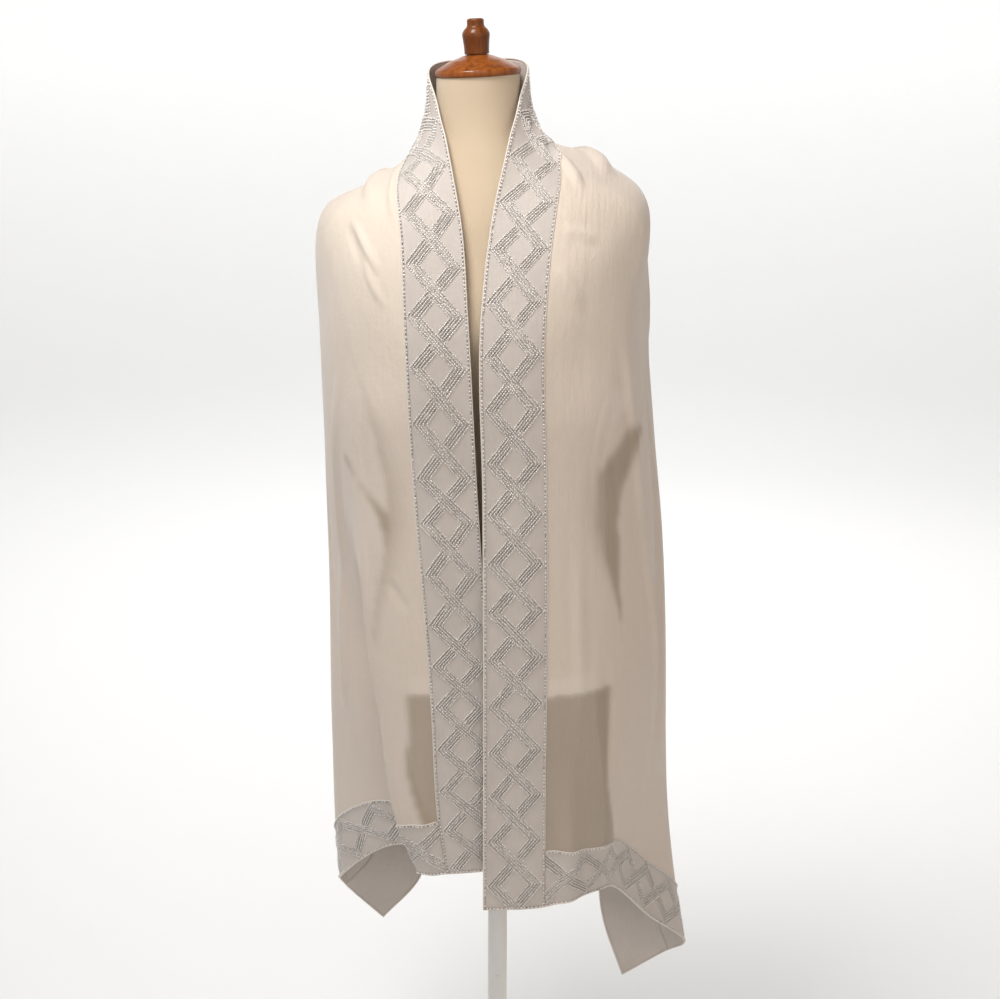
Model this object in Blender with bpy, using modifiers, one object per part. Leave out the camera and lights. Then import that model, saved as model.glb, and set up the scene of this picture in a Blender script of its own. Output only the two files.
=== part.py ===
"""Beaded chiffon scarf draped over a limbless dress form on a round stand.

The scarf is one long rectangle of chiffon with a beaded border on all four sides.
It lies round the neck, over both shoulders and down the front in two panels.
Its shape is a loft through the crosswise sections in SECTIONS, measured from the
middle of the neck top: across (to the right seen from the front), depth (to the
back) and drop (downwards), all in millimetres.
"""

import math

import bmesh
import bpy
import numpy as np
from mathutils import Vector
from mathutils.bvhtree import BVHTree

MM = 0.001

# Driving sizes, in metres
NECK_TOP_HEIGHT = 1.500
FORM_LEAN = 0.036
SHOULDER_SLANT = 0.050
SLANT_ENDS_AT_DROP = 0.450
PART_GAP = 0.0003

SCARF_WIDTH = 0.530
BORDER_WIDTH = 0.073
CLOTH_THICKNESS = 0.0012
SEAM_GAP = 0.0003
CLOTH_LIFT = 0.0029
COLLAR_REACH = 0.215

POLE_RADIUS = 0.0125
BASE_RADIUS = 0.180
BASE_THICKNESS = 0.014
SOCKET_HEIGHT = 0.045
SOCKET_RADIUS = 0.024

FORM_SEGMENTS = 36
TURNED_STEPS = 28
LENGTHWISE_STEP = 0.036
COLLAR_STEP = 0.020
CROSSWISE_STEP = 0.0175

# The torso: drop below the neck top, half width, front and back depth in
# millimetres, and the squareness of the ring (2 is an ellipse)
FORM_RINGS = (
    (0, 48, 47, 47, 2.0),
    (40, 50, 49, 49, 2.0),
    (68, 55, 54, 54, 2.0),
    (88, 70, 60, 60, 2.0),
    (106, 97, 66, 66, 2.0),
    (124, 127, 73, 74, 2.1),
    (142, 154, 80, 82, 2.2),
    (157, 170, 86, 88, 2.3),
    (176, 178, 92, 92, 2.3),
    (205, 177, 102, 97, 2.3),
    (240, 169, 115, 99, 2.3),
    (280, 160, 124, 99, 2.3),
    (325, 150, 117, 94, 2.2),
    (375, 138, 103, 86, 2.1),
    (430, 126, 92, 79, 2.0),
    (490, 120, 87, 75, 2.0),
    (545, 129, 92, 84, 2.0),
    (600, 142, 99, 96, 2.1),
    (650, 149, 104, 105, 2.1),
    (690, 150, 105, 107, 2.1),
    (706, 147, 102, 104, 2.1),
    (712, 139, 94, 96, 2.1),
)

# Crosswise sections of the scarf from its left hem, round the neck, to its right hem.
# Each row is named, then has (across, depth, drop) at each of the columns, from the
# neck edge over the shoulder and round the side to the outer edge at the back
SECTION_COLUMNS = ("edge", "seam", "front", "tuck", "panel", "side", "back", "outer")
SECTIONS = (
    ("left hem", (32, -120, 945), (-37, -125, 948), (-74, -108, 956), (-28, -76, 950),
     (-106, -42, 953), (-175, 6, 1020), (-178, 62, 1068), (-128, 62, 1117)),
    ("left hem seam", (27, -121, 878), (-36, -126, 882), (-98, -106, 898), (-62, -74, 894),
     (-125, -36, 900), (-181, 10, 948), (-178, 62, 1004), (-80, 80, 1070)),
    ("left hip", (16, -125, 720), (-56, -127, 720), (-120, -104, 732), (-100, -64, 742),
     (-153, -30, 766), (-188, 26, 810), (-170, 84, 862), (-98, 122, 922)),
    ("left waist", (-1, -131, 470), (-76, -129, 472), (-140, -98, 482), (-162, -50, 502),
     (-182, 2, 540), (-187, 56, 592), (-160, 106, 648), (-88, 134, 702)),
    ("left bust", (-12, -131, 255), (-86, -127, 252), (-148, -88, 250), (-182, -34, 270),
     (-190, 20, 318), (-187, 62, 378), (-170, 100, 438), (-124, 128, 498)),
    ("left chest", (-18, -103, 168), (-91, -98, 163), (-147, -54, 160), (-187, 0, 171),
     (-192, 42, 224), (-188, 74, 292), (-178, 98, 362), (-162, 116, 430)),
    ("left throat", (-36, -56, 70), (-73, -31, 94), (-116, 14, 118), (-158, 58, 154),
     (-164, 90, 222), (-152, 104, 302), (-140, 112, 386), (-128, 118, 470)),
    ("left neck", (-54, 15, -9), (-58, 30, 64), (-78, 58, 130), (-81, 88, 202),
     (-77, 104, 278), (-74, 111, 354), (-71, 116, 432), (-68, 120, 508)),
    ("nape", (0, 57, -15), (0, 65, 60), (0, 86, 132), (0, 101, 205),
     (0, 108, 280), (0, 112, 357), (0, 116, 434), (0, 120, 510)),
    ("right neck", (54, 15, -14), (58, 30, 56), (80, 58, 118), (84, 88, 190),
     (81, 104, 266), (78, 110, 344), (75, 115, 424), (72, 120, 500)),
    ("right throat", (36, -58, 66), (80, -31, 84), (123, 14, 88), (166, 58, 128),
     (174, 90, 196), (166, 104, 274), (156, 112, 358), (144, 119, 440)),
    ("right chest", (16, -100, 153), (91, -94, 151), (147, -52, 140), (198, 2, 147),
     (201, 40, 203), (203, 68, 270), (200, 96, 338), (186, 118, 406)),
    ("right bust", (4, -132, 255), (79, -130, 250), (147, -94, 244), (188, -36, 258),
     (199, 16, 302), (212, 56, 362), (208, 96, 424), (174, 126, 486)),
    ("right waist", (6, -138, 470), (80, -134, 470), (146, -106, 482), (196, -56, 510),
     (226, 6, 548), (231, 56, 594), (212, 104, 648), (160, 134, 702)),
    ("right hip", (7, -137, 720), (78, -132, 716), (147, -106, 733), (200, -52, 772),
     (236, 8, 820), (244, 56, 872), (224, 102, 924), (172, 126, 974)),
    ("right hem seam", (7, -136, 915), (78, -131, 912), (152, -99, 924), (178, -50, 940),
     (220, 1, 997), (264, 48, 1058), (242, 94, 1106), (174, 100, 1148)),
    ("right hem", (7, -136, 991), (79, -131, 990), (147, -102, 984), (173, -50, 1008),
     (223, 4, 1080), (279, 52, 1148), (256, 94, 1190), (200, 92, 1224)),
)

# Soft folds laid over the sections, in metres: name, middle along the neck edge (from
# the nape, left is minus), reach each way, middle across the cloth, reach each way,
# and how far the fold stands out
FOLDS = (
    ("left side pipe", -0.62, 0.44, 0.300, 0.024, -0.0070),
    ("right side pipe", 0.66, 0.44, 0.285, 0.024, -0.0070),
    ("left back flute", -0.150, 0.060, 0.530, 0.340, 0.0160),
    ("left back hollow", -0.078, 0.050, 0.530, 0.300, -0.0100),
    ("middle back flute", -0.008, 0.055, 0.530, 0.280, 0.0120),
    ("right back hollow", 0.064, 0.052, 0.530, 0.300, -0.0110),
    ("right back flute", 0.136, 0.062, 0.530, 0.350, 0.0170),
    ("left collar hollow", -0.118, 0.050, 0.000, 0.070, -0.0050),
    ("right collar hollow", 0.118, 0.050, 0.000, 0.070, -0.0050),
    ("left arm flute", -0.245, 0.095, 0.530, 0.280, 0.0240),
    ("right arm flute", 0.250, 0.095, 0.530, 0.280, 0.0260),
    ("left cascade hollow", -0.390, 0.075, 0.530, 0.170, -0.0120),
    ("left cascade", -0.520, 0.085, 0.530, 0.180, 0.0160),
    ("left lower hollow", -0.680, 0.100, 0.530, 0.180, -0.0130),
    ("left lower cascade", -0.850, 0.090, 0.530, 0.160, 0.0110),
    ("right cascade hollow", 0.400, 0.080, 0.530, 0.170, -0.0120),
    ("right cascade", 0.550, 0.090, 0.530, 0.180, 0.0160),
    ("right lower hollow", 0.720, 0.100, 0.530, 0.180, -0.0130),
    ("right lower cascade", 0.900, 0.095, 0.530, 0.160, 0.0120),
    ("right hem wave", 1.060, 0.160, 0.104, 0.020, 0.0080),
    ("left hem wave", -1.010, 0.140, 0.090, 0.018, 0.0050),
)

FINISH_COLORS = {
    "form cover": (0.72, 0.60, 0.43, 1.0),
    "turned wood": (0.27, 0.070, 0.022, 1.0),
    "white enamel": (0.78, 0.77, 0.74, 1.0),
    "chiffon": (0.66, 0.55, 0.46, 1.0),
    "beaded border": (0.58, 0.53, 0.50, 1.0),
}


def start_scene():
    """Clears the scene and makes the part's collection."""
    for thing in list(bpy.data.objects):
        bpy.data.objects.remove(thing, do_unlink=True)
    parts = bpy.data.collections.new("beaded scarf on a dress form")
    bpy.context.scene.collection.children.link(parts)
    return parts


def plain_material(name, roughness, metallic=0.0):
    """A Principled material in one of the part's colours."""
    material = bpy.data.materials.new(name)
    material.use_nodes = True
    shader = material.node_tree.nodes["Principled BSDF"]
    shader.inputs["Base Color"].default_value = FINISH_COLORS[name]
    shader.inputs["Roughness"].default_value = roughness
    shader.inputs["Metallic"].default_value = metallic
    return material


def to_world(across, depth, drop):
    """A point measured from the neck top, in the part's frame."""
    form_bottom_shift = FORM_LEAN * FORM_RINGS[-1][0] * MM
    return Vector((across - form_bottom_shift, depth, NECK_TOP_HEIGHT - drop))


def mesh_object(name, points, faces, material, parts, smooth_angle=40.0):
    """Makes one closed, outward facing mesh object."""
    mesh = bpy.data.meshes.new(name)
    shape = bmesh.new()
    corners = [shape.verts.new(point) for point in points]
    for face in faces:
        shape.faces.new([corners[index] for index in face])
    bmesh.ops.recalc_face_normals(shape, faces=shape.faces)
    bmesh.ops.triangulate(shape, faces=shape.faces)
    shape.to_mesh(mesh)
    shape.free()
    mesh.shade_smooth()
    mesh.set_sharp_from_angle(angle=math.radians(smooth_angle))
    mesh.materials.append(material)
    thing = bpy.data.objects.new(name, mesh)
    parts.objects.link(thing)
    return thing


def slant_at(drop):
    """How much of the shoulder slant is left at this drop."""
    share = min(max(drop / SLANT_ENDS_AT_DROP, 0.0), 1.0)
    return SHOULDER_SLANT * (1.0 - share * share * (3.0 - 2.0 * share))


def form_point(drop, half_width, front, back, squareness, turn):
    """A point of the torso ring at one drop; turn is the angle round it."""
    power = 2.0 / squareness
    across = math.copysign(abs(math.cos(turn)) ** power, math.cos(turn)) * half_width
    reach = back if math.sin(turn) > 0.0 else front
    depth = math.copysign(abs(math.sin(turn)) ** power, math.sin(turn)) * reach
    level = drop - across * slant_at(drop)
    return to_world(across + FORM_LEAN * drop, depth, level)


def add_torso(material, parts):
    """The covered torso: a loft through its rings, closed top and bottom."""
    points = []
    for drop, half_width, front, back, squareness in FORM_RINGS:
        for step in range(FORM_SEGMENTS):
            turn = 2.0 * math.pi * step / FORM_SEGMENTS
            sizes = (drop * MM, half_width * MM, front * MM, back * MM)
            points.append(form_point(*sizes, squareness, turn))
    faces = []
    for ring in range(len(FORM_RINGS) - 1):
        for step in range(FORM_SEGMENTS):
            here = ring * FORM_SEGMENTS + step
            beside = ring * FORM_SEGMENTS + (step + 1) % FORM_SEGMENTS
            faces.append((here, beside, beside + FORM_SEGMENTS, here + FORM_SEGMENTS))
    faces.append(tuple(range(FORM_SEGMENTS)))
    last = (len(FORM_RINGS) - 1) * FORM_SEGMENTS
    faces.append(tuple(range(last, last + FORM_SEGMENTS)))
    return mesh_object("form_torso", points, faces, material, parts)


def add_turned(name, profile, place, tilt, material, parts):
    """A turned piece: its profile of (radius, height) runs from top to bottom."""
    mesh = bpy.data.meshes.new(name)
    shape = bmesh.new()
    corners = [shape.verts.new((radius, 0.0, height)) for radius, height in profile]
    for upper, lower in zip(corners, corners[1:]):
        shape.edges.new((upper, lower))
    shape.to_mesh(mesh)
    shape.free()
    mesh.materials.append(material)
    thing = bpy.data.objects.new(name, mesh)
    screw = thing.modifiers.new("turning", "SCREW")
    screw.steps = TURNED_STEPS
    screw.render_steps = TURNED_STEPS
    screw.use_merge_vertices = True
    screw.merge_threshold = 0.00005
    screw.use_smooth_shade = True
    thing.location = place
    thing.rotation_euler = (0.0, -tilt, 0.0)
    parts.objects.link(thing)
    return thing


def add_neck_cap(material, parts):
    """The turned cap that closes the neck, tilted with the neck top."""
    profile = (
        (0.0, 0.0235),
        (0.0110, 0.0235),
        (0.0160, 0.0225),
        (0.0300, 0.0175),
        (0.0430, 0.0110),
        (0.0485, 0.0078),
        (0.0496, 0.0055),
        (0.0496, 0.0020),
        (0.0486, PART_GAP),
        (0.0, PART_GAP),
    )
    tilt = math.atan(SHOULDER_SLANT)
    return add_turned("form_neck_cap", profile, to_world(0.0, 0.0, 0.0), tilt, material, parts)


def add_finial(material, parts):
    """The turned finial that stands on the cap."""
    seat = 0.0235 + PART_GAP
    profile = (
        (0.0, 0.0640),
        (0.0075, 0.0638),
        (0.0098, 0.0625),
        (0.0098, 0.0570),
        (0.0104, 0.0545),
        (0.0136, 0.0515),
        (0.0158, 0.0475),
        (0.0160, 0.0445),
        (0.0153, 0.0400),
        (0.0146, 0.0330),
        (0.0143, 0.0270),
        (0.0143, seat),
        (0.0, seat),
    )
    tilt = math.atan(SHOULDER_SLANT)
    return add_turned("form_finial", profile, to_world(0.0, 0.0, 0.0), tilt, material, parts)


def add_stand(material, parts):
    """The pole and the round base with its socket collar."""
    form_bottom = NECK_TOP_HEIGHT - FORM_RINGS[-1][0] * MM
    pole_foot = BASE_THICKNESS + SOCKET_HEIGHT + PART_GAP
    base_profile = (
        (0.0, BASE_THICKNESS + SOCKET_HEIGHT),
        (SOCKET_RADIUS - 0.004, BASE_THICKNESS + SOCKET_HEIGHT),
        (SOCKET_RADIUS, BASE_THICKNESS + SOCKET_HEIGHT - 0.004),
        (SOCKET_RADIUS, BASE_THICKNESS + 0.010),
        (SOCKET_RADIUS + 0.008, BASE_THICKNESS + 0.002),
        (SOCKET_RADIUS + 0.020, BASE_THICKNESS),
        (BASE_RADIUS - 0.006, BASE_THICKNESS - 0.003),
        (BASE_RADIUS, BASE_THICKNESS - 0.008),
        (BASE_RADIUS, 0.002),
        (BASE_RADIUS - 0.002, 0.0),
        (0.0, 0.0),
    )
    pole_profile = (
        (0.0, form_bottom - PART_GAP),
        (POLE_RADIUS + 0.006, form_bottom - PART_GAP),
        (POLE_RADIUS + 0.006, form_bottom - 0.020),
        (POLE_RADIUS, form_bottom - 0.026),
        (POLE_RADIUS, pole_foot),
        (0.0, pole_foot),
    )
    origin = (0.0, 0.0, 0.0)
    add_turned("form_base", base_profile, origin, 0.0, material, parts)
    add_turned("form_pole", pole_profile, origin, 0.0, material, parts)


def spline_at(knots, values, places):
    """Smooth curve through values at knots, read at places (a knot-spaced Hermite)."""
    slopes = np.gradient(values, knots, axis=0, edge_order=1)
    spans = np.clip(np.searchsorted(knots, places, side="right") - 1, 0, len(knots) - 2)
    width = (knots[spans + 1] - knots[spans])[:, None]
    share = ((places - knots[spans])[:, None]) / width
    first = (1.0 + 2.0 * share) * (1.0 - share) ** 2
    second = share * (1.0 - share) ** 2
    third = share ** 2 * (3.0 - 2.0 * share)
    fourth = share ** 2 * (share - 1.0)
    return (
        first * values[spans] + second * width * slopes[spans]
        + third * values[spans + 1] + fourth * width * slopes[spans + 1]
    )


def chord_knots(points, power):
    """Knots of a curve through points, spaced by a power of their distance."""
    gaps = np.linalg.norm(np.diff(points, axis=0), axis=1) ** power
    return np.concatenate(([0.0], np.cumsum(gaps)))


def run_lengths(points):
    """Length along a fine line of points."""
    gaps = np.linalg.norm(np.diff(points, axis=0), axis=1)
    return np.concatenate(([0.0], np.cumsum(gaps)))


class Drape:
    """The middle surface of the scarf, read by place along the neck edge and across."""

    def __init__(self, torso):
        self.guides = np.array([section[1:] for section in SECTIONS], dtype=float) * MM
        names = [section[0] for section in SECTIONS]
        edge = self.guides[:, SECTION_COLUMNS.index("edge")]
        self.knots = chord_knots(edge, 1.0)
        self.fine_knots = np.linspace(0.0, self.knots[-1], 400)
        lengths = run_lengths(spline_at(self.knots, edge, self.fine_knots))
        nape = np.interp(self.knots[names.index("nape")], self.fine_knots, lengths)
        self.fine_along = lengths - nape
        self.left_end = self.fine_along[0]
        self.right_end = self.fine_along[-1]
        self.torso_tree = BVHTree.FromObject(torso, bpy.context.evaluated_depsgraph_get())

    def section(self, along, across):
        """Points across the cloth at one place along the neck edge, evenly by length."""
        knot = np.interp([along], self.fine_along, self.fine_knots)
        flat_guides = self.guides.reshape(len(self.guides), -1)
        columns = spline_at(self.knots, flat_guides, knot).reshape(-1, 3)
        knots = chord_knots(columns, 0.5)
        line = spline_at(knots, columns, np.linspace(0.0, knots[-1], 240))
        lengths = run_lengths(line)
        wanted = across / SCARF_WIDTH * lengths[-1]
        return [to_world(*(np.interp(place, lengths, line[:, axis]) for axis in range(3)))
                for place in wanted]

    def grid(self, along, across):
        """Grid of surface points with the folds laid in, clear of the torso."""
        points = np.array([self.section(place, across) for place in along])
        shift = np.zeros(points.shape[:2])
        for name, place, reach, cross, half_width, depth in FOLDS:
            lengthwise = soft_bump(along, place, reach)[:, None]
            crosswise = soft_bump(across, cross, half_width)[None, :]
            shift += depth * lengthwise * crosswise
        points += grid_normals(points) * shift[:, :, None]
        for row in points:
            for column in range(len(row)):
                row[column] = self.lifted(Vector(row[column]))
        return points

    def lifted(self, place):
        """Moves a point that is too near the torso out to the cloth's lift."""
        spot, normal, index, distance = self.torso_tree.find_nearest(place)
        outside = (place - spot).dot(normal) > 0.0
        if outside and distance > CLOTH_LIFT:
            return place
        return spot + normal * CLOTH_LIFT


def soft_bump(places, middle, reach):
    """One round bump of height 1 over places, nothing past its reach."""
    share = np.clip(np.abs(places - middle) / reach, 0.0, 1.0)
    return 0.5 + 0.5 * np.cos(math.pi * share)


def grid_normals(points):
    """Outward unit normals of a grid of points, by differences."""
    lengthwise = np.gradient(points, axis=0)
    crosswise = np.gradient(points, axis=1)
    normals = np.cross(lengthwise, crosswise)
    size = np.linalg.norm(normals, axis=2, keepdims=True)
    return normals / np.maximum(size, 1e-12)


def stations(breaks, steps):
    """Places from the first break to the last, on every break and about a step apart."""
    places = [breaks[0]]
    for start, end, step in zip(breaks, breaks[1:], steps):
        count = max(2, math.ceil((end - start) / step))
        places.extend(np.linspace(start, end, count + 1)[1:])
    return np.array(places)


def set_back(points):
    """Draws the four sides of a grid in by half a seam gap."""
    result = points.copy()
    for axis in (0, 1):
        lines = np.moveaxis(result, axis, 0)
        for side, beside in ((0, 1), (-1, -2)):
            inward = lines[beside] - lines[side]
            inward /= np.linalg.norm(inward, axis=1, keepdims=True)
            lines[side] += inward * (SEAM_GAP / 2.0)
    return result


def add_wall(name, points, normals, material, parts):
    """A stretch of cloth as a closed wall, half its thickness to either side."""
    middle = set_back(points)
    rows, columns = middle.shape[:2]
    outer = (middle + normals * (CLOTH_THICKNESS / 2.0)).reshape(-1, 3)
    inner = (middle - normals * (CLOTH_THICKNESS / 2.0)).reshape(-1, 3)
    count = rows * columns
    faces = []
    for row in range(rows - 1):
        for column in range(columns - 1):
            here = row * columns + column
            cell = (here, here + 1, here + 1 + columns, here + columns)
            faces.append(cell)
            faces.append(tuple(index + count for index in reversed(cell)))
    rim = [column for column in range(columns)]
    rim += [row * columns + columns - 1 for row in range(1, rows)]
    rim += [(rows - 1) * columns + column for column in range(columns - 2, -1, -1)]
    rim += [row * columns for row in range(rows - 2, 0, -1)]
    for here, beside in zip(rim, rim[1:] + rim[:1]):
        faces.append((beside, here, here + count, beside + count))
    corners = np.concatenate((outer, inner))
    return mesh_object(name, corners.tolist(), faces, material, parts)


def add_scarf(drape, chiffon, border, parts):
    """All stretches of the scarf, cut from one grid so that their seams match."""
    left, right = drape.left_end, drape.right_end
    left_seam, right_seam = left + BORDER_WIDTH, right - BORDER_WIDTH
    breaks = (left, left_seam, -COLLAR_REACH, 0.0, COLLAR_REACH, right_seam, right)
    front_steps = (LENGTHWISE_STEP, LENGTHWISE_STEP, COLLAR_STEP)
    along = stations(breaks, front_steps + front_steps[::-1])
    inner_seam, outer_seam = BORDER_WIDTH, SCARF_WIDTH - BORDER_WIDTH
    across = stations((0.0, inner_seam, outer_seam, SCARF_WIDTH), (CROSSWISE_STEP,) * 3)
    points = drape.grid(along, across)
    normals = grid_normals(points)
    stretches = (
        ("border_front_left", left, -COLLAR_REACH, 0.0, inner_seam, border),
        ("border_collar", -COLLAR_REACH, COLLAR_REACH, 0.0, inner_seam, border),
        ("border_front_right", COLLAR_REACH, right, 0.0, inner_seam, border),
        ("border_outer_left", left, -COLLAR_REACH, outer_seam, SCARF_WIDTH, border),
        ("border_outer_back", -COLLAR_REACH, COLLAR_REACH, outer_seam, SCARF_WIDTH, border),
        ("border_outer_right", COLLAR_REACH, right, outer_seam, SCARF_WIDTH, border),
        ("border_hem_left", left, left_seam, inner_seam, outer_seam, border),
        ("border_hem_right", right_seam, right, inner_seam, outer_seam, border),
        ("chiffon_front_left", left_seam, -COLLAR_REACH, inner_seam, outer_seam, chiffon),
        ("chiffon_back", -COLLAR_REACH, COLLAR_REACH, inner_seam, outer_seam, chiffon),
        ("chiffon_front_right", COLLAR_REACH, right_seam, inner_seam, outer_seam, chiffon),
    )
    for name, first, last, near, far, material in stretches:
        rows = slice(nearest(along, first), nearest(along, last) + 1)
        columns = slice(nearest(across, near), nearest(across, far) + 1)
        add_wall(name, points[rows, columns], normals[rows, columns], material, parts)


def nearest(places, wanted):
    """Index of the place nearest to the wanted one."""
    return int(np.argmin(np.abs(places - wanted)))


def main():
    """Builds the form, its stand and the scarf."""
    parts = start_scene()
    cover = plain_material("form cover", 0.85)
    wood = plain_material("turned wood", 0.28)
    enamel = plain_material("white enamel", 0.35)
    torso = add_torso(cover, parts)
    add_neck_cap(wood, parts)
    add_finial(wood, parts)
    add_stand(enamel, parts)
    bpy.context.view_layer.update()
    drape = Drape(torso)
    add_scarf(drape, plain_material("chiffon", 0.7), plain_material("beaded border", 0.6), parts)


main()
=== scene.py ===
"""Looks of a beaded chiffon scarf worn over a limbless dress form.

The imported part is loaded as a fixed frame. The cloth, its sewn edges and its beads are
laid on the same drape that the part's solids were cut from, read on a finer grid: one
place along the neck edge (from the nape, to the wearer's right is minus) and one across
the cloth (from the neck edge to the outer edge), both in metres.
"""

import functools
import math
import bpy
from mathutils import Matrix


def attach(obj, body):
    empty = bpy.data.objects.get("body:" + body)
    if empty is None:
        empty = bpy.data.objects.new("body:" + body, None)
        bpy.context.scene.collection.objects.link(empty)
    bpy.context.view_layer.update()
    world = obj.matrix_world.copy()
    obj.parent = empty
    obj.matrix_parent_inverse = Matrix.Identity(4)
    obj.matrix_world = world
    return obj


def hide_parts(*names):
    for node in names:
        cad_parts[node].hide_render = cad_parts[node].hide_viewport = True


bl_info = {
    "name": "Beaded Scarf on a Dress Form",
    "version": (1, 0, 0),
    "blender": (4, 5, 0),
    "location": "3D View > Sidebar > Scarf",
    "description": "Dresses a packed dress form with a sheer scarf, beading and a studio",
    "category": "Add Mesh",
}

import bpy
import numpy as np
from mathutils import Vector
from mathutils.bvhtree import BVHTree

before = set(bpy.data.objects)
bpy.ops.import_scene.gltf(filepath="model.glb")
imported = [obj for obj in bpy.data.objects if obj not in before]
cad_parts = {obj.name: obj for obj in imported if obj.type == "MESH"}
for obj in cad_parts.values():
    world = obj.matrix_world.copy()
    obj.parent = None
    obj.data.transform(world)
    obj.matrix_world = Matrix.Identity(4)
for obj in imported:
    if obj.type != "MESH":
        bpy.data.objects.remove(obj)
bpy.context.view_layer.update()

MM = 0.001
BODY = "root"
# The chiffon's point attribute: 1 where the form shows through, 0.5 over another layer, 0 where
# nothing lies behind; its low values are painted shade
BACKING_AND_PAINTED_SHADE = "backing"
BLACK, WHITE = (0.0, 0.0, 0.0), (1.0, 1.0, 1.0)

# Form and stand, in metres
NECK_TOP_HEIGHT = 1.500
FORM_LEAN = 0.036
SHOULDER_SLANT = 0.050
SLANT_ENDS_AT_DROP = 0.450

# The torso: drop below the neck top, half width, front and back depth in
# millimetres, and the squareness of the ring (2 is an ellipse)
FORM_RINGS = (
    (0, 48, 47, 47, 2.0), (40, 50, 49, 49, 2.0), (68, 55, 54, 54, 2.0),
    (88, 70, 60, 60, 2.0), (106, 97, 66, 66, 2.0), (124, 127, 73, 74, 2.1),
    (142, 154, 80, 82, 2.2), (157, 170, 86, 88, 2.3), (176, 178, 92, 92, 2.3),
    (205, 177, 102, 97, 2.3), (240, 169, 115, 99, 2.3), (280, 160, 124, 99, 2.3),
    (325, 150, 117, 94, 2.2), (375, 138, 103, 86, 2.1), (430, 126, 92, 79, 2.0),
    (490, 120, 87, 75, 2.0), (545, 129, 92, 84, 2.0), (600, 142, 99, 96, 2.1),
    (650, 149, 104, 105, 2.1), (690, 150, 105, 107, 2.1), (706, 147, 102, 104, 2.1),
    (712, 139, 94, 96, 2.1),
)

# Crosswise sections of the scarf from its left hem, round the neck, to its right hem.
# Each row is named, then has (across, depth, drop) from the neck top in millimetres at
# eight columns, from the neck edge over the shoulder to the outer edge at the back
SECTIONS = (
    ("left hem", (32, -120, 945), (-37, -125, 948), (-74, -108, 956), (-28, -76, 950),
     (-106, -42, 953), (-175, 6, 1020), (-178, 62, 1068), (-128, 62, 1117)),
    ("left hem seam", (27, -121, 878), (-36, -126, 882), (-98, -106, 898), (-62, -74, 894),
     (-125, -36, 900), (-181, 10, 948), (-178, 62, 1004), (-80, 80, 1070)),
    ("left hip", (16, -125, 720), (-56, -127, 720), (-120, -104, 732), (-100, -64, 742),
     (-153, -30, 766), (-188, 26, 810), (-170, 84, 862), (-98, 122, 922)),
    ("left waist", (-1, -131, 470), (-76, -129, 472), (-140, -98, 482), (-162, -50, 502),
     (-182, 2, 540), (-187, 56, 592), (-160, 106, 648), (-88, 134, 702)),
    ("left bust", (-12, -131, 255), (-86, -127, 252), (-148, -88, 250), (-182, -34, 270),
     (-190, 20, 318), (-187, 62, 378), (-170, 100, 438), (-124, 128, 498)),
    ("left chest", (-18, -103, 168), (-91, -98, 163), (-147, -54, 160), (-187, 0, 171),
     (-192, 42, 224), (-188, 74, 292), (-178, 98, 362), (-162, 116, 430)),
    ("left throat", (-36, -56, 70), (-73, -31, 94), (-116, 14, 118), (-158, 58, 154),
     (-164, 90, 222), (-152, 104, 302), (-140, 112, 386), (-128, 118, 470)),
    ("left neck", (-54, 15, -9), (-58, 30, 64), (-78, 58, 130), (-81, 88, 202),
     (-77, 104, 278), (-74, 111, 354), (-71, 116, 432), (-68, 120, 508)),
    ("nape", (0, 57, -15), (0, 65, 60), (0, 86, 132), (0, 101, 205),
     (0, 108, 280), (0, 112, 357), (0, 116, 434), (0, 120, 510)),
    ("right neck", (54, 15, -14), (58, 30, 56), (80, 58, 118), (84, 88, 190),
     (81, 104, 266), (78, 110, 344), (75, 115, 424), (72, 120, 500)),
    ("right throat", (36, -58, 66), (80, -31, 84), (123, 14, 88), (166, 58, 128),
     (174, 90, 196), (166, 104, 274), (156, 112, 358), (144, 119, 440)),
    ("right chest", (16, -100, 153), (91, -94, 151), (147, -52, 140), (198, 2, 147),
     (201, 40, 203), (203, 68, 270), (200, 96, 338), (186, 118, 406)),
    ("right bust", (4, -132, 255), (79, -130, 250), (147, -94, 244), (188, -36, 258),
     (199, 16, 302), (212, 56, 362), (208, 96, 424), (174, 126, 486)),
    ("right waist", (6, -138, 470), (80, -134, 470), (146, -106, 482), (196, -56, 510),
     (226, 6, 548), (231, 56, 594), (212, 104, 648), (160, 134, 702)),
    ("right hip", (7, -137, 720), (78, -132, 716), (147, -106, 733), (200, -52, 772),
     (236, 8, 820), (244, 56, 872), (224, 102, 924), (172, 126, 974)),
    ("right hem seam", (7, -136, 915), (78, -131, 912), (152, -99, 924), (178, -50, 940),
     (220, 1, 997), (264, 48, 1058), (242, 94, 1106), (174, 100, 1148)),
    ("right hem", (7, -136, 991), (79, -131, 990), (147, -102, 984), (173, -50, 1008),
     (223, 4, 1080), (279, 52, 1148), (256, 94, 1190), (200, 92, 1224)),
)

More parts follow.
